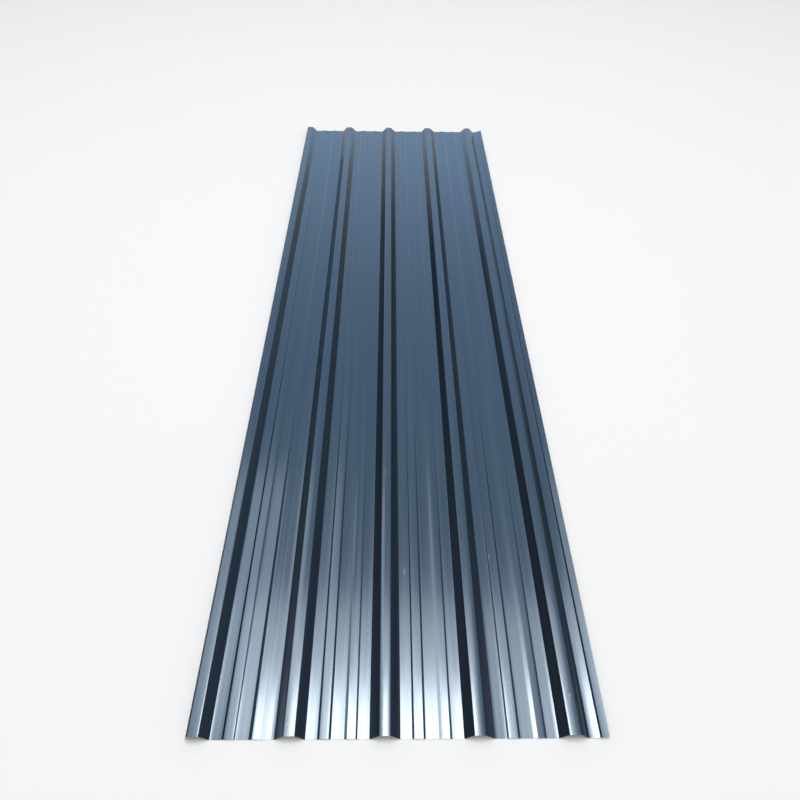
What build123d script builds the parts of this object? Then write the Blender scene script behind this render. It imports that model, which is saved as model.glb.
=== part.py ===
from build123d import *

import os
from math import hypot

# A trapezoidal profiled steel roofing sheet, one piece of pre-painted coil.
# It is roll-formed, so one section runs the whole length of the sheet. It lies with
# its ribs up and running along Y, the overlap rib on the -X side and the underlap edge
# on the +X side. The origin is midway between the side edges and between the cut ends,
# on the plane of the pan undersides. Section sizes are those of the underside.

# Coil and cut length
sheet_length = 3000.0
steel_thickness = 0.5
bend_radius = 3.5

# Main ribs
rib_count = 5
rib_pitch = 205.0
rib_height = 20.0
rib_crest_width = 25.5
rib_base_width = 65.0
rib_crest_crown = 0.6

# Stiffeners rolled into each pan
stiffeners_per_pan = 2
stiffener_spacing = 57.5
stiffener_crest_width = 20.5
stiffener_base_width = 28.5
stiffener_height = 1.8

# Overlap edge: the outer leg of the first rib is steep and stops short of the pan
overlap_leg_run = 5.5
overlap_leg_drop = 16.0

# Underlap edge: a flange that springs up, the first web of one more stiffener, then a lip
underlap_flange_rise = 2.5
underlap_lip_width = 12.0
underlap_lip_rise = 3.2


def rib_centre(index):
    """Distance of a main rib from the first one."""
    return index * rib_pitch


def crest_corner(index, side):
    """Corner where a rib's crest meets its left (-1) or right (+1) web."""
    return (rib_centre(index) + side * rib_crest_width / 2, rib_height)


def foot_corner(index, side):
    """Corner where a rib's left (-1) or right (+1) web meets the pan."""
    return (rib_centre(index) + side * rib_base_width / 2, 0)


def stiffener_centres(index):
    """Distances from the first rib of the stiffeners in the pan that follows a rib."""
    pan_centre = rib_centre(index) + rib_pitch / 2
    middle = (stiffeners_per_pan - 1) / 2
    return [pan_centre + (n - middle) * stiffener_spacing for n in range(stiffeners_per_pan)]


def stiffener_corners(centre):
    """Corners of one stiffener, from left to right."""
    half_base = stiffener_base_width / 2
    half_crest = stiffener_crest_width / 2
    return [
        (centre - half_base, 0),
        (centre - half_crest, stiffener_height),
        (centre + half_crest, stiffener_height),
        (centre + half_base, 0),
    ]


def pan_corners(index):
    """Corners from a rib's right web across the pan to the next rib's crest."""
    stiffeners = [corner for c in stiffener_centres(index) for corner in stiffener_corners(c)]
    return [foot_corner(index, 1), *stiffeners, foot_corner(index + 1, -1), crest_corner(index + 1, -1)]


def underlap_corners(index):
    """Corners from the last rib's right web to the edge of the lip."""
    foot, crest_edge = stiffener_corners(stiffener_centres(index)[0])[:2]
    flange_edge = (foot[0], foot[1] + underlap_flange_rise)
    lip_start = (crest_edge[0], crest_edge[1] + underlap_flange_rise)
    lip_edge = (lip_start[0] + underlap_lip_width, lip_start[1] + underlap_lip_rise)
    return [foot_corner(index, 1), flange_edge, lip_start, lip_edge]


last_rib = rib_count - 1
overlap_edge = (crest_corner(0, -1)[0] - overlap_leg_run, rib_height - overlap_leg_drop)
underlap_edge = underlap_corners(last_rib)[-1]

# The leg's outer face stands out from its underside by part of the thickness
leg_overhang = steel_thickness * overlap_leg_drop / hypot(overlap_leg_run, overlap_leg_drop)
middle_of_sheet = (overlap_edge[0] - leg_overhang + underlap_edge[0]) / 2

with BuildPart() as corrugated_sheet:
    with BuildSketch(Plane.XZ.shift_origin((-middle_of_sheet, 0, 0))):
        with BuildLine() as section:
            Line(overlap_edge, crest_corner(0, -1))
            for rib in range(rib_count):
                crown = (rib_centre(rib), rib_height + rib_crest_crown)
                ThreePointArc(crest_corner(rib, -1), crown, crest_corner(rib, 1))
                onwards = underlap_corners(rib) if rib == last_rib else pan_corners(rib)
                Polyline(crest_corner(rib, 1), *onwards)
            bends = section.vertices().sort_by(Axis.X)[1:-1]
            fillet(bends, radius=bend_radius)
            offset(amount=steel_thickness, side=Side.LEFT)
        make_face()
    extrude(amount=sheet_length / 2, both=True)

corrugated_sheet.part.label = "corrugated_sheet"

os.makedirs("parts", exist_ok=True)
export_step(corrugated_sheet.part, "parts/corrugated_sheet.step")
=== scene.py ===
"""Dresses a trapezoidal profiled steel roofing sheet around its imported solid, and lights it in a studio.

The sheet lies ribs up on its pan undersides at z = 0, with the ribs along +Y, the overlap rib at the
left (-X) and the underlap edge at the right (+X). Lengths are metres and angles are degrees.
"""
import logging
import math
from dataclasses import dataclass, field
from enum import Enum

import bpy
from mathutils import Matrix, Vector


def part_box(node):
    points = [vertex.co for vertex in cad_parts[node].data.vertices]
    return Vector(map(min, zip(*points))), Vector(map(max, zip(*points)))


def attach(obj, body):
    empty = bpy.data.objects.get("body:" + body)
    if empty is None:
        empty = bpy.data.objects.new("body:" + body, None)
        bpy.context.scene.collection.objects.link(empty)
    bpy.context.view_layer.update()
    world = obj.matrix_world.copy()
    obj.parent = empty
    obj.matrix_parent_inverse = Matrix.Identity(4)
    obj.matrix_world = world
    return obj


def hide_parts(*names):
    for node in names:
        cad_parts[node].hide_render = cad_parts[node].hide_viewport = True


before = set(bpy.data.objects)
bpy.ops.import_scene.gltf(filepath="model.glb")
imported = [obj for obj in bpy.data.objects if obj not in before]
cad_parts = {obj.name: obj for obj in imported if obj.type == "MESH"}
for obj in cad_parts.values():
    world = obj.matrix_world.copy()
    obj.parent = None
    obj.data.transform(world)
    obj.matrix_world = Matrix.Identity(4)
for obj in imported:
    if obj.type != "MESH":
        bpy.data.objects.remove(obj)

Colour = tuple[float, float, float]
Repeats = tuple[float, float, float]
Span = tuple[float, float]
Output = bpy.types.NodeSocket

MM = 0.001
PIECE = "roofing_sheet"
SHEET_NODE = "corrugated_sheet"
ROOT_BODY = "root"
MIX_LOW, MIX_HIGH, MIX_RESULT = 6, 7, 2  # Where a Mix node has its two colour inputs and its colour output
ROUGHENING = (0.3, 0.7)  # The noise values between which a finish goes from its smoothest to its roughest

log = logging.getLogger(PIECE)


class Face(Enum):
    """The three kinds of surface on the sheet, as the index of their material slot."""

    WEATHER = 0
    BACK = 1
    CUT = 2


class LampUse(Enum):
    """What a lamp is for: to be mirrored in the gloss, or to light the colours."""

    MIRRORED = 0
    LIGHTING = 1


class Mark(Enum):
    """What lies on the paint, the width and length of one mark in metres: dings, scuffs and rubs that handling left,
    and scratch streaks that are painted highlight lines as well as scratches.
    """

    DING = (0.004, 0.005)
    SCUFF = (0.0022, 0.016)
    RUB = (0.012, 0.030)
    # A thin pale streak: a scratch that also paints a highlight line along a crest or a bend.
    SCRATCH_AND_HIGHLIGHT = (0.0016, 0.060)


def rgba(colour: Colour) -> tuple[float, float, float, float]:
    """Returns a colour with full alpha, as node sockets take it."""
    return (*colour, 1.0)


def deselect_all() -> None:
    """Leaves object mode with nothing selected."""
    if bpy.context.object and bpy.context.object.mode != "OBJECT":
        bpy.ops.object.mode_set(mode="OBJECT")
    bpy.ops.object.select_all(action="DESELECT")


@dataclass
class NodeGraph:
    """A node tree under construction, with short ways to add and join nodes.

    Args:
        tree: The material's or world's node tree.
    """

    tree: bpy.types.NodeTree

    def add(self, kind: str, **settings: object) -> bpy.types.Node:
        """Adds a node.

        Args:
            kind: The node's type name, without its ShaderNode prefix.
            settings: Properties of the node, and numbers for its input sockets by name.

        Returns:
            The new node.
        """
        node = self.tree.nodes.new("ShaderNode" + kind)
        for name, value in settings.items():
            if hasattr(node, name):
                setattr(node, name, value)
            else:
                node.inputs[name.replace("_", " ")].default_value = value
        return node

    def join(self, output: Output, target: bpy.types.NodeSocket) -> None:
        """Links an output to an input."""
        self.tree.links.new(output, target)

    def feed(self, value: Output | float | tuple[float, ...], target: bpy.types.NodeSocket) -> None:
        """Gives an input its value, which is an output to link or a plain value to set."""
        if isinstance(value, Output):
            self.join(value, target)
        else:
            target.default_value = value

    def maths(self, operation: str, *operands: Output | float) -> Output:
        """Adds a Math node.

        Args:
            operation: The operation's name, such as MULTIPLY.
            operands: Numbers or outputs, in order.

        Returns:
            The node's output.
        """
        node = self.add("Math", operation=operation)
        for operand, socket in zip(operands, node.inputs):
            self.feed(operand, socket)
        return node.outputs[0]

    def blend(self, share: Output, low: Output | Colour, high: Output | Colour) -> Output:
        """Adds a colour Mix node.

        Args:
            share: The output that drives the mix.
            low: Colour, or colour output, at share 0.
            high: Colour, or colour output, at share 1.

        Returns:
            The mixed colour.
        """
        node = self.add("Mix", data_type="RGBA")
        self.join(share, node.inputs["Factor"])
        for value, index in ((low, MIX_LOW), (high, MIX_HIGH)):
            self.feed(value if isinstance(value, Output) else rgba(value), node.inputs[index])
        return node.outputs[MIX_RESULT]

    def cover(self, share: Output, under: bpy.types.Node, over: bpy.types.Node) -> bpy.types.Node:
        """Adds a Mix Shader node.

        Args:
            share: How much of the second shader shows, from 0 to 1.
            under: The shader that shows at share 0.
            over: The shader that shows at share 1.

        Returns:
            The mixed shader.
        """
        node = self.add("MixShader")
        for output, socket in zip((share, under.outputs[0], over.outputs[0]), node.inputs):
            self.join(output, socket)
        return node

    def ramp(self, share: Output, source: Span, result: Span = (0.0, 1.0)) -> Output:
        """Maps a value smoothly from one range to another, clamped.

        Args:
            share: The value's output.
            source: The two values that become the ends of the result, in either order.
            result: What the first and the second of them become.

        Returns:
            The mapped value.
        """
        node = self.add("MapRange", interpolation_type="SMOOTHSTEP", From_Min=source[0], From_Max=source[1],
                        To_Min=result[0], To_Max=result[1])
        self.join(share, node.inputs["Value"])
        return node.outputs[0]

    def place(self, scale: Repeats = (1.0, 1.0, 1.0), shift: Repeats = (0.0, 0.0, 0.0)) -> Output:
        """Returns Object coordinates, moved and stretched for a pattern.

        Args:
            scale: How often the pattern repeats along each axis, per metre.
            shift: How far the pattern is moved, in its own units.

        Returns:
            The mapped coordinates.
        """
        coordinates = self.add("TexCoord")
        mapping = self.add("Mapping", Location=shift, Scale=scale)
        self.join(coordinates.outputs["Object"], mapping.inputs["Vector"])
        return mapping.outputs[0]

    def noise(self, scale: Repeats, detail: float = 2.0, shift: Repeats = (0.0, 0.0, 0.0)) -> Output:
        """Returns fractal noise on Object coordinates.

        Args:
            scale: Repeats per metre along each axis.
            detail: Octaves of finer noise.
            shift: Moves the pattern, so that two noises differ.

        Returns:
            The noise value, around a half.
        """
        node = self.add("TexNoise", Scale=1.0, Detail=detail)
        self.join(self.place(scale, shift), node.inputs["Vector"])
        return node.outputs[0]

    def axes(self, coordinates: Output) -> dict[str, Output]:
        """Splits coordinates into their X, Y and Z, and returns them by name."""
        node = self.add("SeparateXYZ")
        self.join(coordinates, node.inputs[0])
        return {output.name: output for output in node.outputs}


def new_material(name: str) -> tuple[bpy.types.Material, NodeGraph, bpy.types.Node]:
    """Makes a material with a Principled shader.

    Args:
        name: The material's name.

    Returns:
        The material, its graph and its shader node.
    """
    material = bpy.data.materials.new(name)
    material.use_nodes = True
    graph = NodeGraph(material.node_tree)
    return material, graph, material.node_tree.nodes["Principled BSDF"]


@dataclass(frozen=True)
class Blemish:
    """One mark on the weather face. Dings, scuffs and rubs are left by handling; a scratch streak is a scratch and a
    painted highlight line at once.

    Args:
        kind: What sort of mark it is.
        rib: The rib that it is counted from, 0 at the overlap.
        offset: Distance from that rib's centre, to the right.
        from_front: Distance from the front cut end.
        depth: How strong it is, 1 for a plain one.
    """

    kind: Mark
    rib: int
    offset: float
    from_front: float
    depth: float = 1.0


@dataclass(frozen=True)
class SlateTopcoat:
    """Glossy dark slate-blue coil coating on the weather face.

    Args:
        pigment: The paint where it is fresh.
        chalked: The paint where it has chalked, in streaks along the ribs.
        dust: Pale dust in the specks and on the rubbed marks; the same pale paints the highlight lines along the
            scratch streaks.
        gloss_tint: Tint of the gloss where it is seen square on.
        ior: Refractive index of the clear film.
        roughness: How rough the film is, at its glossiest and its dullest.
        soil_roughness: How much rougher it is under dust, and under the painted highlight streaks.
        streaks: Repeats per metre of the chalk streaks.
        drift: Repeats per metre of the slow changes from place to place.
        streak_share: How much the streaks count beside the drift.
        chalking: The wear at which the paint starts to chalk and has fully chalked.
        specks: Repeats per metre of the dust specks.
        speck_reach: Where a speck ends and where it is full, as shares of its cell.
        speck_patches: Repeats per metre of the patches that have specks.
        speck_patch_edge: The patches' outer and inner edge, in noise value.
        speck_strength: How pale a speck is.
        roll_lines: Repeats per metre of the fine lines that the rolls left.
        roll_line_depth: How deep those lines are.
        ding_depth: How deep a ding is in its middle.
        breaks: Repeats per metre of the breaks in a scuff, where it passed over the paint without a mark.
        break_edge: The noise values at which a scuff is broken off and is whole.
    """

    pigment: Colour = (0.0116, 0.0188, 0.0282)
    chalked: Colour = (0.0180, 0.0280, 0.0405)
    dust: Colour = (0.30, 0.32, 0.34)
    gloss_tint: Colour = (0.55, 0.75, 1.0)
    ior: float = 1.5
    roughness: Span = (0.14, 0.20)
    soil_roughness: float = 0.4
    streaks: Repeats = (70.0, 0.7, 40.0)
    drift: Repeats = (3.0, 0.8, 3.0)
    streak_share: float = 0.6
    chalking: Span = (0.38, 0.66)
    specks: Repeats = (42.0, 30.0, 42.0)
    speck_reach: Span = (0.045, 0.03)
    speck_patches: Repeats = (6.0, 4.0, 6.0)
    speck_patch_edge: Span = (0.52, 0.62)
    speck_strength: float = 0.35
    roll_lines: Repeats = (260.0, 0.5, 0.5)
    roll_line_depth: float = 0.004 * MM
    ding_depth: float = 0.25 * MM
    breaks: Repeats = (500.0, 160.0, 500.0)
    break_edge: Span = (0.42, 0.68)

    def make(self, sheet: "RoofingSheet") -> bpy.types.Material:
        """Builds the node material.

        Args:
            sheet: The sheet, which says where its blemishes are.

        Returns:
            The material.
        """
        material, graph, shader = new_material("slate_topcoat")
        streaks = graph.noise(self.streaks, detail=3.0)
        drift = graph.noise(self.drift, detail=1.0, shift=(4.0, 9.0, 1.0))
        wear = graph.maths("ADD", graph.maths("MULTIPLY", streaks, self.streak_share),
                           graph.maths("MULTIPLY", drift, 1.0 - self.streak_share))
        paint = graph.blend(graph.ramp(wear, self.chalking), self.pigment, self.chalked)
        # The pale marks paint highlight lines along the scratch streaks, beside the dust and scuffs.
        scuffs_and_highlights, dings = self.blemish_masks(graph, sheet)
        soil_and_highlight = graph.maths("MAXIMUM", self.speck_mask(graph), scuffs_and_highlights)
        graph.join(graph.blend(soil_and_highlight, paint, self.dust), shader.inputs["Base Color"])
        rough = graph.ramp(streaks, ROUGHENING, self.roughness)
        soil = graph.maths("MULTIPLY", soil_and_highlight, self.soil_roughness)
        graph.join(graph.maths("ADD", rough, soil), shader.inputs["Roughness"])
        lines = graph.noise(self.roll_lines, shift=(1.0, 3.0, 0.0))
        height = graph.maths("ADD", graph.maths("MULTIPLY", lines, self.roll_line_depth),
                             graph.maths("MULTIPLY", dings, -self.ding_depth))
        bump = graph.add("Bump", Distance=1.0, Strength=1.0)
        graph.join(height, bump.inputs["Height"])
        graph.join(bump.outputs[0], shader.inputs["Normal"])
        shader.inputs["IOR"].default_value = self.ior
        shader.inputs["Specular Tint"].default_value = rgba(self.gloss_tint)
        return material

    def speck_mask(self, graph: NodeGraph) -> Output:
        """Scatters the dust specks in patches.

        Args:
            graph: The material's graph.

        Returns:
            How dusty the paint is, from 0 to 1.
        """
        cells = graph.add("TexVoronoi", feature="F1", Scale=1.0, Randomness=1.0)
        graph.join(graph.place(self.specks), cells.inputs["Vector"])
        speck = graph.ramp(cells.outputs["Distance"], self.speck_reach)
        patch = graph.ramp(graph.noise(self.speck_patches, shift=(2.0, 5.0, 7.0)), self.speck_patch_edge)
        return graph.maths("MULTIPLY", graph.maths("MULTIPLY", speck, patch), self.speck_strength)

    def blemish_masks(self, graph: NodeGraph, sheet: "RoofingSheet") -> tuple[Output, Output]:
        """Places the handling marks, and the scratch streaks that also paint highlight lines.

        Args:
            graph: The material's graph.
            sheet: The sheet, which says where its blemishes are.

        Returns:
            How scuffed the paint is, with the painted highlight streaks, and how deep it is dinged, each from 0 to 1.
        """
        whole = graph.ramp(graph.noise(self.breaks, shift=(8.0, 2.0, 3.0)), self.break_edge)
        scuffs_and_highlights, dings = 0.0, 0.0
        for blemish in sheet.blemishes:
            mark = self.mark_mask(graph, sheet, blemish)
            if blemish.kind is Mark.DING:
                dings = graph.maths("MAXIMUM", dings, mark)
            else:
                # Scuffs, rubs and scratch streaks; the streaks paint highlight lines.
                scuffs_and_highlights = graph.maths("MAXIMUM", scuffs_and_highlights, graph.maths("MULTIPLY", mark, whole))
        return scuffs_and_highlights, dings

    def mark_mask(self, graph: NodeGraph, sheet: "RoofingSheet", blemish: Blemish) -> Output:
        """Draws one mark as a soft ellipse.

        Args:
            graph: The material's graph.
            sheet: The sheet, which says where its ribs are.
            blemish: The mark.

        Returns:
            The mark's depth in its middle, down to 0 at its rim.
        """
        width, length = blemish.kind.value
        x = sheet.rib_x(blemish.rib) + blemish.offset
        y = sheet.front + blemish.from_front
        scale = (2.0 / width, 2.0 / length, 0.0)
        away = graph.add("VectorMath", operation="LENGTH")
        graph.join(graph.place(scale, (-x * scale[0], -y * scale[1], 0.0)), away.inputs[0])
        return graph.ramp(away.outputs["Value"], (1.0, 0.0), (0.0, blemish.depth))


@dataclass(frozen=True)
class BackerCoat:
    """Thin dull grey wash coat on the underside."""

    colour: Colour = (0.30, 0.31, 0.31)
    worn: Colour = (0.24, 0.25, 0.255)
    roughness: Span = (0.47, 0.63)
    streaks: Repeats = (60.0, 0.9, 30.0)
    wear: Span = (0.35, 0.65)

    def make(self) -> bpy.types.Material:
        """Builds the node material and returns it."""
        material, graph, shader = new_material("backer_coat")
        streaks = graph.noise(self.streaks, detail=3.0, shift=(5.0, 1.0, 2.0))
        graph.join(graph.blend(graph.ramp(streaks, self.wear), self.worn, self.colour), shader.inputs["Base Color"])
        graph.join(graph.ramp(streaks, ROUGHENING, self.roughness), shader.inputs["Roughness"])
        return material


@dataclass(frozen=True)
class ShearedSteel:
    """Bare galvanized steel where the sheet was slit and cut to length."""

    bright: Colour = (0.26, 0.27, 0.28)
    dull: Colour = (0.10, 0.105, 0.11)
    roughness: Span = (0.40, 0.65)
    metallic: float = 0.8
    burr: Repeats = (300.0, 300.0, 2000.0)
    burr_edge: Span = (0.35, 0.65)

    def make(self) -> bpy.types.Material:
        """Builds the node material and returns it."""
        material, graph, shader = new_material("sheared_steel")
        burr = graph.noise(self.burr)
        graph.join(graph.blend(graph.ramp(burr, self.burr_edge), self.dull, self.bright), shader.inputs["Base Color"])
        graph.join(graph.ramp(burr, ROUGHENING, self.roughness), shader.inputs["Roughness"])
        shader.inputs["Metallic"].default_value = self.metallic
        return material


@dataclass
class Fold:
    """One corner of the underside's section line.

    Args:
        x: Place across the sheet.
        z: Height.
        bent: Whether the line is bent round a roll here, and so gets the bend radius.
    """

    x: float
    z: float
    bent: bool = True

    def slope_to(self, other: "Fold") -> float:
        """Returns how steeply the section line rises from here to another fold, in radians."""
        return math.atan2(other.z - self.z, other.x - self.x)


@dataclass(frozen=True)
class CrestForm:
    """How a rib's crest came out of the rolls.

    Args:
        crown: How much its top stands over an edge that is half a crest away.
        peak: Where its top is, from -1 at the left edge to 1 at the right.
    """

    crown: float
    peak: float = 0.0


@dataclass(frozen=True)
class PanForm:
    """How a pan came out of the rolls, which is never quite level.

    Args:
        leans: How far each of its strips faces to the right: flat, stiffener, flat, stiffener, flat.
        ramp: Width of the second stiffener's left web.
        second_height: Height of the second stiffener's lower edge.
    """

    leans: tuple[float, float, float, float, float]
    ramp: float
    second_height: float


@dataclass
class RoofingSheet:
    """The sheet: one strip of coil, roll-formed to five ribs and four stiffened pans.

    The section is drawn along its underside, and the steel's thickness stands on it. Each rib and each
    pan has a form of its own, because the rolls never leave two of them quite alike.
    """

    thickness: float = 0.5 * MM
    bend_radius: float = 3.5 * MM
    bend_segments: int = 4
    rib_count: int = 5
    rib_pitch: float = 205.0 * MM
    rib_height: float = 20.0 * MM
    rib_crest_width: float = 25.5 * MM
    rib_base_width: float = 65.0 * MM
    rib_crest_crown: float = 0.55 * MM
    crest_forms: tuple[CrestForm, ...] = (
        CrestForm(0.15 * MM),
        CrestForm(0.35 * MM),
        CrestForm(1.3 * MM, 0.09),
        CrestForm(0.75 * MM, -0.5),
        CrestForm(0.5 * MM),
    )
    crest_points: int = 8
    stiffener_spacing: float = 57.5 * MM
    stiffener_crest_width: float = 20.5 * MM
    stiffener_base_width: float = 28.5 * MM
    stiffener_height: float = 1.8 * MM
    overlap_leg_run: float = 5.5 * MM
    overlap_leg_drop: float = 16.0 * MM
    underlap_flange_width: float = 24.5 * MM
    underlap_flange_rise: float = 2.5 * MM
    underlap_step_run: float = 2.7 * MM
    underlap_step_rise: float = 2.7 * MM
    underlap_lip_rise: float = 4.6 * MM
    strip_parts: int = 3
    rows: int = 60
    smooth_below: float = 30.0
    cut_facing: float = 0.9
    edge_reach: float = 0.01 * MM
    pan_forms: tuple[PanForm, ...] = (
        PanForm((0.0, 0.3, 0.6, 2.0, 1.1), 7.0 * MM, 1.3 * MM),
        PanForm((0.0, -2.2, -0.4, 0.0, 0.0), 6.0 * MM, 1.4 * MM),
        PanForm((0.0, 0.0, 0.0, 0.0, 0.0), 7.5 * MM, 1.2 * MM),
        PanForm((2.6, 0.3, 0.4, 2.5, -1.2), 9.0 * MM, 0.8 * MM),
    )
    oil_canning: float = 0.5 * MM
    oil_canning_length: float = 0.26
    blemishes: tuple[Blemish, ...] = (
        Blemish(Mark.DING, 2, -48.0 * MM, 343.0 * MM),
        Blemish(Mark.DING, 2, -42.0 * MM, 242.0 * MM),
        Blemish(Mark.DING, 2, -75.0 * MM, 304.0 * MM, 0.8),
        Blemish(Mark.DING, 4, -10.0 * MM, 172.0 * MM),
        Blemish(Mark.SCUFF, 1, -6.0 * MM, 26.0 * MM, 0.7),
        Blemish(Mark.SCUFF, 3, -4.5 * MM, 54.0 * MM),
        Blemish(Mark.SCUFF, 3, 8.0 * MM, 411.0 * MM, 0.5),
        Blemish(Mark.SCUFF, 3, 8.0 * MM, 510.0 * MM, 0.6),
        # These streaks paint highlight lines as well as scratches: two along the third rib's crest, one on the bend
        # of the fourth pan's first stiffener.
        Blemish(Mark.SCRATCH_AND_HIGHLIGHT, 2, -2.6 * MM, 712.0 * MM, 0.7),
        Blemish(Mark.SCRATCH_AND_HIGHLIGHT, 2, -1.3 * MM, 500.0 * MM, 0.7),
        Blemish(Mark.SCRATCH_AND_HIGHLIGHT, 3, 64.6 * MM, 443.0 * MM, 0.6),
        Blemish(Mark.RUB, 2, 48.0 * MM, 401.0 * MM, 0.5),
        Blemish(Mark.RUB, 4, 1.0 * MM, 80.0 * MM, 0.6),
    )
    left: float = field(init=False)
    right: float = field(init=False)
    front: float = field(init=False)
    back: float = field(init=False)

    def __post_init__(self) -> None:
        """Takes the sheet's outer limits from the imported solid."""
        low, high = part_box(SHEET_NODE)
        self.left, self.right = low.x, high.x
        self.front, self.back = low.y, high.y

    def rib_x(self, index: int) -> float:
        """Returns the place of a rib's centre, counted from 0 at the overlap edge."""
        overhang = self.thickness * self.overlap_leg_drop / math.hypot(self.overlap_leg_run, self.overlap_leg_drop)
        return self.left + overhang + self.overlap_leg_run + self.rib_crest_width / 2 + index * self.rib_pitch

    def foot_x(self, index: int, side: int = 1) -> float:
        """Returns where a rib's left (-1) or right (1) web meets the pan."""
        return self.rib_x(index) + side * self.rib_base_width / 2

    def stiffener_x(self, index: int) -> tuple[float, float]:
        """Returns the centres of the two stiffeners in the pan that follows a rib."""
        centre = self.rib_x(index) + self.rib_pitch / 2
        return centre - self.stiffener_spacing / 2, centre + self.stiffener_spacing / 2

    def strip(self, start: float, end: float, height: float, lean: float) -> list[Fold]:
        """Lays one flat strip between two bends.

        Args:
            start: Left edge.
            end: Right edge.
            height: Height of its lower edge.
            lean: How far it faces to the right.

        Returns:
            Its folds from left to right, with plain points between the two bends.
        """
        rise = (end - start) * math.tan(math.radians(lean))
        z_start, z_end = height + max(rise, 0.0), height + max(-rise, 0.0)
        return [Fold(start + (end - start) * n / self.strip_parts, z_start + (z_end - z_start) * n / self.strip_parts,
                     n in (0, self.strip_parts)) for n in range(self.strip_parts + 1)]

    def crest(self, index: int) -> list[Fold]:
        """Returns the folds of a rib's crest, which is slightly crowned."""
        form = self.crest_forms[index]
        top = self.rib_height + self.rib_crest_crown
        folds = []
        for n in range(self.crest_points + 1):
            across = 2 * n / self.crest_points - 1
            folds.append(Fold(self.rib_x(index) + across * self.rib_crest_width / 2,
                              top - form.crown * (across - form.peak) ** 2, n in (0, self.crest_points)))
        return folds

    def pan(self, index: int) -> list[Fold]:
        """Returns the folds of the pan that follows a rib: flat, stiffener, flat, stiffener, flat."""
        half_base, half_crest = self.stiffener_base_width / 2, self.stiffener_crest_width / 2
        first, second = self.stiffener_x(index)
        form = self.pan_forms[index]
        spans = (
            (self.foot_x(index), first - half_base, 0.0),
            (first - half_crest, first + half_crest, self.stiffener_height),
            (first + half_base, second - half_base, 0.0),
            (second - half_base + form.ramp, second + half_crest, form.second_height),
            (second + half_base, self.foot_x(index + 1, -1), 0.0),
        )
        return [fold for span, lean in zip(spans, form.leans) for fold in self.strip(*span, lean)]

    def underlap(self) -> list[Fold]:
        """Returns the folds of the flange that springs up past the last rib, its step and its lip."""
        foot = self.foot_x(self.rib_count - 1)
        flange_edge = foot + self.underlap_flange_width
        lip_start = flange_edge + self.underlap_step_run
        lip_z = self.underlap_flange_rise + self.underlap_step_rise
        return [
            Fold(foot, 0.0),
            Fold(flange_edge, self.underlap_flange_rise),
            Fold(lip_start, lip_z),
            Fold(self.right, lip_z + self.underlap_lip_rise, bent=False),
        ]

    def section(self) -> list[Fold]:
        """Returns the whole section line from the overlap edge to the underlap edge."""
        folds = [Fold(self.rib_x(0) - self.rib_crest_width / 2 - self.overlap_leg_run,
                      self.rib_height - self.overlap_leg_drop, bent=False)]
        for index in range(self.rib_count):
            folds += self.crest(index)
            folds += self.underlap() if index == self.rib_count - 1 else self.pan(index)
        return folds

    def build(self) -> bpy.types.Object:
        """Models the sheet from a strip, and returns its object."""
        folds = self.section()
        sheet = self.lay_first_strip(folds[0], folds[1])
        self.form_strips(folds)
        self.round_bends(folds)
        self.divide_lengthwise()
        bpy.ops.object.mode_set(mode="OBJECT")
        self.buckle(sheet)
        self.thicken(sheet)
        return sheet

    def lay_first_strip(self, start: Fold, end: Fold) -> bpy.types.Object:
        """Adds the overlap leg as a plane at its place, and leaves it in edit mode.

        Args:
            start: The leg's cut edge.
            end: The bend where it meets the first crest.

        Returns:
            The new object.
        """
        deselect_all()
        run, rise = end.x - start.x, end.z - start.z
        bpy.ops.mesh.primitive_plane_add(size=1.0)
        sheet = bpy.context.object
        sheet.name = PIECE
        sheet.data.name = PIECE
        bpy.ops.object.mode_set(mode="EDIT")
        bpy.ops.transform.resize(value=(math.hypot(run, rise), self.back - self.front, 1.0))
        bpy.ops.transform.rotate(value=start.slope_to(end), orient_axis="Y", center_override=(0.0, 0.0, 0.0))
        middle = ((start.x + end.x) / 2, (self.front + self.back) / 2, (start.z + end.z) / 2)
        bpy.ops.transform.translate(value=middle)
        return sheet

    def form_strips(self, folds: list[Fold]) -> None:
        """Extrudes the right edge from fold to fold.

        Args:
            folds: The section line.
        """
        self.select_edge_at(folds[1])
        for before, after in zip(folds[1:], folds[2:]):
            bpy.ops.mesh.extrude_edges_move(
                TRANSFORM_OT_translate={"value": (after.x - before.x, 0.0, after.z - before.z)})

    def select_edge_at(self, fold: Fold) -> None:
        """Selects the lengthwise edge that lies on a fold, in edit mode.

        Args:
            fold: Where the edge is.
        """
        bpy.ops.mesh.select_mode(type="EDGE")
        bpy.ops.mesh.select_all(action="DESELECT")
        bpy.ops.object.mode_set(mode="OBJECT")
        mesh = bpy.context.object.data
        for edge in mesh.edges:
            ends = (mesh.vertices[i].co for i in edge.vertices)
            edge.select = all(math.hypot(end.x - fold.x, end.z - fold.z) < self.edge_reach for end in ends)
        bpy.ops.object.mode_set(mode="EDIT")

    def round_bends(self, folds: list[Fold]) -> None:
        """Bevels every bend to the bend radius.

        Args:
            folds: The section line.
        """
        for before, fold, after in zip(folds, folds[1:], folds[2:]):
            if not fold.bent:
                continue
            turn = abs(fold.slope_to(after) - before.slope_to(fold))
            self.select_edge_at(fold)
            bpy.ops.mesh.bevel(offset_type="OFFSET", offset=self.bend_radius * math.tan(turn / 2),
                               segments=self.bend_segments, profile=0.5, affect="EDGES", clamp_overlap=False)

    def divide_lengthwise(self) -> None:
        """Cuts the sheet into rows, so that it can bow and buckle along its length."""
        bpy.ops.mesh.select_all(action="DESELECT")
        bpy.ops.object.mode_set(mode="OBJECT")
        mesh = bpy.context.object.data
        for edge in mesh.edges:
            a, b = (mesh.vertices[i].co for i in edge.vertices)
            edge.select = abs(a.y - b.y) > (self.back - self.front) / 2
        bpy.ops.object.mode_set(mode="EDIT")
        bpy.ops.mesh.subdivide(number_cuts=self.rows - 1, quadcorner="STRAIGHT_CUT")

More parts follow.
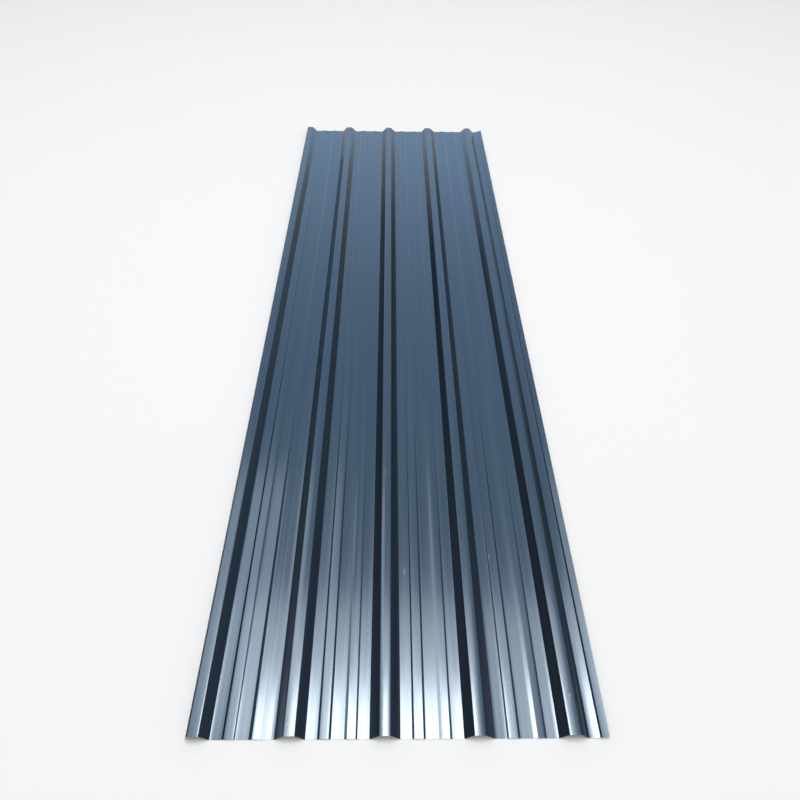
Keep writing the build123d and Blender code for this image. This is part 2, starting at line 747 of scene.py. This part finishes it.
    def buckle(self, sheet: bpy.types.Object) -> None:
        """Lifts the pans a little, unevenly, as thin sheet oil-cans between its ribs.

        Args:
            sheet: The sheet's object.
        """
        group = sheet.vertex_groups.new(name="pans")
        for vertex in sheet.data.vertices:
            for index in range(self.rib_count - 1):
                share = (vertex.co.x - self.foot_x(index)) / (self.rib_pitch - self.rib_base_width)
                if 0.0 < share < 1.0:
                    group.add([vertex.index], math.sin(math.pi * share), "REPLACE")
        waves = bpy.data.textures.new("oil_canning", "CLOUDS")
        waves.noise_scale = self.oil_canning_length
        waves.noise_depth = 1
        lift = sheet.modifiers.new("oil_canning", "DISPLACE")
        lift.texture = waves
        lift.texture_coords = "LOCAL"
        lift.direction = "Z"
        lift.mid_level = 0.0
        lift.strength = self.oil_canning
        lift.vertex_group = group.name
        bpy.ops.object.modifier_apply(modifier=lift.name)

    def thicken(self, sheet: bpy.types.Object) -> None:
        """Gives the strip the coil's thickness, outwards from its underside, and smooths its bends.

        Args:
            sheet: The sheet's object.
        """
        bpy.ops.object.mode_set(mode="EDIT")
        bpy.ops.mesh.select_all(action="SELECT")
        bpy.ops.mesh.normals_make_consistent(inside=False)
        bpy.ops.object.mode_set(mode="OBJECT")
        if sum(face.normal.z * face.area for face in sheet.data.polygons) < 0.0:
            bpy.ops.object.mode_set(mode="EDIT")
            bpy.ops.mesh.flip_normals()
            bpy.ops.object.mode_set(mode="OBJECT")
        wall = sheet.modifiers.new("steel", "SOLIDIFY")
        wall.thickness = self.thickness
        wall.offset = 1.0
        wall.use_even_offset = True
        bpy.ops.object.modifier_apply(modifier=wall.name)
        sheet.vertex_groups.clear()
        bpy.ops.object.shade_smooth_by_angle(angle=math.radians(self.smooth_below))

    def dress(self, sheet: bpy.types.Object) -> None:
        """Gives each face the finish of its kind.

        Args:
            sheet: The sheet's object.
        """
        for finish in (SlateTopcoat().make(self), BackerCoat().make(), ShearedSteel().make()):
            sheet.data.materials.append(finish)
        for face in sheet.data.polygons:
            if abs(face.normal.y) > self.cut_facing or self.is_slit_edge(face):
                face.material_index = Face.CUT.value
            else:
                face.material_index = (Face.WEATHER if face.normal.z > 0.0 else Face.BACK).value

    def is_slit_edge(self, face: bpy.types.MeshPolygon) -> bool:
        """Returns whether a face is one of the narrow faces along the slit side edges."""
        outermost = face.center.x < self.left + self.thickness or face.center.x > self.right - self.thickness
        return outermost and face.area < 2 * self.thickness * (self.back - self.front) / self.rows


@dataclass(frozen=True)
class StudioFloor:
    """Plain pale floor that the sheet lies on."""

    albedo: Colour = (0.93, 0.93, 0.93)
    roughness: float = 0.9
    specular: float = 0.2
    width: float = 60.0
    gap: float = 0.2 * MM

    def build(self) -> None:
        """Adds the floor just under the sheet."""
        deselect_all()
        bpy.ops.mesh.primitive_plane_add(size=self.width, location=(0.0, 0.0, -self.gap))
        floor = bpy.context.object
        floor.name = "studio_floor"
        material, _, shader = new_material("studio_floor")
        shader.inputs["Base Color"].default_value = rgba(self.albedo)
        shader.inputs["Roughness"].default_value = self.roughness
        shader.inputs["Specular IOR Level"].default_value = self.specular
        floor.data.materials.append(material)


@dataclass(frozen=True)
class SideFlag:
    """Studio flag beside the sheet, dark near the front, which only the gloss sees.

    The rib webs mirror it, so that they stay dark between the pale pans and crests.

    Args:
        x: Its place across the studio.
        cloth: The radiance of its lower part.
        upper: The radiance of its upper part.
        graded: Heights between which the one passes into the other.
        height: How high it stands.
        start: Its near end along the ribs.
        end: Its far end along the ribs.
        far_end: The radiance of its far part.
        pale_beyond: Distances along the ribs between which it turns to that.
        open_above: Heights between which its cloth thins out to nothing, once open_beyond is passed.
        open_beyond: Distances along the ribs between which that thinning out begins.
        gone_beyond: Distances along the ribs between which it ends at every height.
    """

    x: float
    cloth: Colour
    upper: Colour
    graded: Span
    height: float = 6.0
    start: float = -10.0
    end: float = 14.0
    far_end: Colour = (0.52, 0.50, 0.50)
    pale_beyond: Span = (7.2, 9.0)
    open_above: Span = (1.6, 3.0)
    open_beyond: Span = (2.5, 5.0)
    gone_beyond: Span = (9.3, 12.0)

    def build(self) -> None:
        """Adds the flag."""
        deselect_all()
        bpy.ops.mesh.primitive_plane_add(size=1.0)
        flag = bpy.context.object
        flag.name = f"side_flag_{'left' if self.x < 0 else 'right'}"
        bpy.ops.object.mode_set(mode="EDIT")
        bpy.ops.transform.resize(value=(self.height, self.end - self.start, 1.0))
        bpy.ops.transform.rotate(value=math.pi / 2, orient_axis="Y", center_override=(0.0, 0.0, 0.0))
        bpy.ops.transform.translate(value=(self.x, (self.start + self.end) / 2, self.height / 2))
        bpy.ops.object.mode_set(mode="OBJECT")
        flag.data.materials.append(self.cloth_material(flag.name))
        flag.visible_camera = False
        flag.visible_diffuse = False
        flag.visible_shadow = False
        flag.visible_transmission = False

    def cloth_material(self, name: str) -> bpy.types.Material:
        """Makes the flag's graded cloth.

        Args:
            name: The material's name.

        Returns:
            The material.
        """
        material, graph, shader = new_material(name)
        at = graph.axes(graph.place())
        cloth = graph.blend(graph.ramp(at["Z"], self.graded), self.cloth, self.upper)
        cloth = graph.blend(graph.ramp(at["Y"], self.pale_beyond), cloth, self.far_end)
        glow = graph.add("Emission", Strength=1.0)
        graph.join(cloth, glow.inputs["Color"])
        opening = graph.maths("MULTIPLY", graph.ramp(at["Z"], self.open_above), graph.ramp(at["Y"], self.open_beyond))
        opening = graph.maths("MAXIMUM", opening, graph.ramp(at["Y"], self.gone_beyond))
        shown = graph.cover(opening, glow, graph.add("BsdfTransparent"))
        graph.tree.nodes.remove(shader)
        graph.join(shown.outputs[0], graph.tree.nodes["Material Output"].inputs["Surface"])
        return material


@dataclass(frozen=True)
class SoftBox:
    """A soft rectangular lamp that hangs level and faces down.

    Args:
        name: The lamp's name.
        x: Its left and right limits.
        y: Its near and far limits.
        z: Its height.
        radiance: How bright its face is.
        colour: The light's colour.
        use: What it is for.
    """

    name: str
    x: Span
    y: Span
    z: float
    radiance: float
    colour: Colour = (1.0, 1.0, 1.0)
    use: LampUse = LampUse.MIRRORED

    def build(self) -> None:
        """Adds the lamp."""
        width, depth = self.x[1] - self.x[0], self.y[1] - self.y[0]
        lamp = bpy.data.lights.new(self.name, "AREA")
        lamp.shape = "RECTANGLE"
        lamp.size = width
        lamp.size_y = depth
        lamp.energy = self.radiance * math.pi * width * depth
        lamp.color = self.colour
        box = bpy.data.objects.new(self.name, lamp)
        box.location = (sum(self.x) / 2, sum(self.y) / 2, self.z)
        box.visible_glossy = self.use is LampUse.MIRRORED
        box.visible_diffuse = self.use is LampUse.LIGHTING
        bpy.context.scene.collection.objects.link(box)


@dataclass(frozen=True)
class Surroundings:
    """The air of the studio: even light from all round, a blue sky for the gloss and a white backdrop.

    Args:
        light: The colour of the even light.
        light_level: How strong that light is.
        horizon: The radiance that the gloss sees level with the sheet.
        sky_low: The radiance that it sees above that.
        sky_high: The radiance that it sees overhead.
        horizon_rise: How steep the look is where the horizon passes into the low sky, as a sine.
        sky_rise: How steep it is where the low sky passes into the high one, as a sine.
        backdrop: What the camera sees past the floor.
    """

    light: Colour = (0.98, 0.99, 1.0)
    light_level: float = 0.58
    horizon: Colour = (1.05, 1.38, 1.76)
    sky_low: Colour = (1.16, 1.68, 2.30)
    sky_high: Colour = (1.85, 2.30, 2.65)
    horizon_rise: Span = (0.08, 0.28)
    sky_rise: Span = (0.56, 0.90)
    backdrop: Colour = (1.0, 1.0, 1.0)

    def build(self) -> None:
        """Makes the world."""
        world = bpy.data.worlds.new("studio_air")
        world.use_nodes = True
        graph = NodeGraph(world.node_tree)
        ambient = graph.tree.nodes["Background"]
        ambient.inputs["Color"].default_value = rgba(self.light)
        ambient.inputs["Strength"].default_value = self.light_level
        rise = graph.axes(graph.add("TexCoord").outputs["Generated"])["Z"]
        air = graph.blend(graph.ramp(rise, self.horizon_rise), self.horizon, self.sky_low)
        air = graph.blend(graph.ramp(rise, self.sky_rise), air, self.sky_high)
        sky = graph.add("Background", Strength=1.0)
        graph.join(air, sky.inputs["Color"])
        backdrop = graph.add("Background", Color=rgba(self.backdrop), Strength=1.0)
        ray = graph.add("LightPath")
        shown = graph.cover(ray.outputs["Is Glossy Ray"], ambient, sky)
        shown = graph.cover(ray.outputs["Is Camera Ray"], shown, backdrop)
        graph.join(shown.outputs[0], graph.tree.nodes["World Output"].inputs["Surface"])
        bpy.context.scene.world = world


@dataclass(frozen=True)
class Viewpoint:
    """The photograph's viewpoint: held at chest height by someone standing before the front cut end.

    Args:
        across: Distance to the right of the first rib's centre.
        before_front: Distance in front of the front cut end.
        height: Height above the floor.
        tilt: How far it looks down from level.
        swing: How far it looks to the right of the ribs' direction.
        roll: How far the picture is turned about its middle.
        lens: Focal length, in millimetres.
        frame_width: Width of the camera's frame, in millimetres.
        sees_to: How far the camera sees.
    """

    across: float = 0.416445
    before_front: float = 0.48503
    height: float = 1.5451
    tilt: float = 45.72
    swing: float = 1.349
    roll: float = -1.157
    lens: float = 30.161
    frame_width: float = 36.0
    sees_to: float = 200.0

    def build(self, sheet: RoofingSheet) -> None:
        """Places the camera.

        Args:
            sheet: The sheet that it looks at.
        """
        camera = bpy.data.objects.new("viewpoint", bpy.data.cameras.new("viewpoint"))
        camera.data.sensor_width = self.frame_width
        camera.data.lens = self.lens
        camera.data.clip_end = self.sees_to
        place = Vector((sheet.rib_x(0) + self.across, sheet.front - self.before_front, self.height))
        aim = (Matrix.Rotation(math.radians(-self.swing), 4, "Z")
               @ Matrix.Rotation(math.radians(90.0 - self.tilt), 4, "X")
               @ Matrix.Rotation(math.radians(-self.roll), 4, "Z"))
        camera.matrix_world = Matrix.Translation(place) @ aim
        bpy.context.scene.collection.objects.link(camera)
        bpy.context.scene.camera = camera


@dataclass
class Studio:
    """The floor, lamps, flags and air around the sheet.

    The overhead lamp and the air light the colours. The soft boxes and the flags are there to be mirrored.
    """

    floor: StudioFloor = StudioFloor()
    air: Surroundings = Surroundings()
    overhead: SoftBox = SoftBox("overhead_light", x=(-3.0, 3.0), y=(-3.0, 3.0), z=9.0, radiance=3.5,
                                use=LampUse.LIGHTING)
    key: SoftBox = SoftBox("key_softbox", x=(-1.4, 1.5), y=(0.3, 1.6), z=8.0, radiance=49.5,
                           colour=(1.0, 0.83, 0.68))
    halo: SoftBox = SoftBox("halo_softbox", x=(-2.4, 2.75), y=(0.3, 3.0), z=8.1, radiance=8.7,
                            colour=(1.0, 0.84, 0.70))
    fill: SoftBox = SoftBox("fill_softbox", x=(-3.8, -1.5), y=(1.0, 5.6), z=8.2, radiance=4.7,
                            colour=(1.0, 0.92, 0.82))
    left_flag: SideFlag = SideFlag(x=-4.0, cloth=(0.012, 0.016, 0.022), upper=(0.10, 0.145, 0.20), graded=(1.5, 6.0))
    right_flag: SideFlag = SideFlag(x=4.0, cloth=(0.06, 0.08, 0.10), upper=(0.30, 0.39, 0.48), graded=(0.6, 1.4))

    def build(self) -> None:
        """Sets the studio up."""
        self.floor.build()
        self.air.build()
        for lamp in (self.overhead, self.key, self.halo, self.fill):
            lamp.build()
            log.info("lamp %s: radiance %.1f", lamp.name, lamp.radiance)
        for flag in (self.left_flag, self.right_flag):
            flag.build()


def main() -> None:
    """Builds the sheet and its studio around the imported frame."""
    logging.basicConfig(level=logging.INFO, format="%(name)s: %(message)s")
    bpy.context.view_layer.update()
    roofing = RoofingSheet()
    Viewpoint().build(roofing)
    sheet = roofing.build()
    roofing.dress(sheet)
    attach(sheet, ROOT_BODY)
    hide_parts(SHEET_NODE)
    log.info("piece %s: %d faces, %d finishes", sheet.name, len(sheet.data.polygons), len(sheet.data.materials))
    Studio().build()
    bpy.context.scene.view_settings.view_transform = "Standard"


if __name__ == "__main__":
    main()
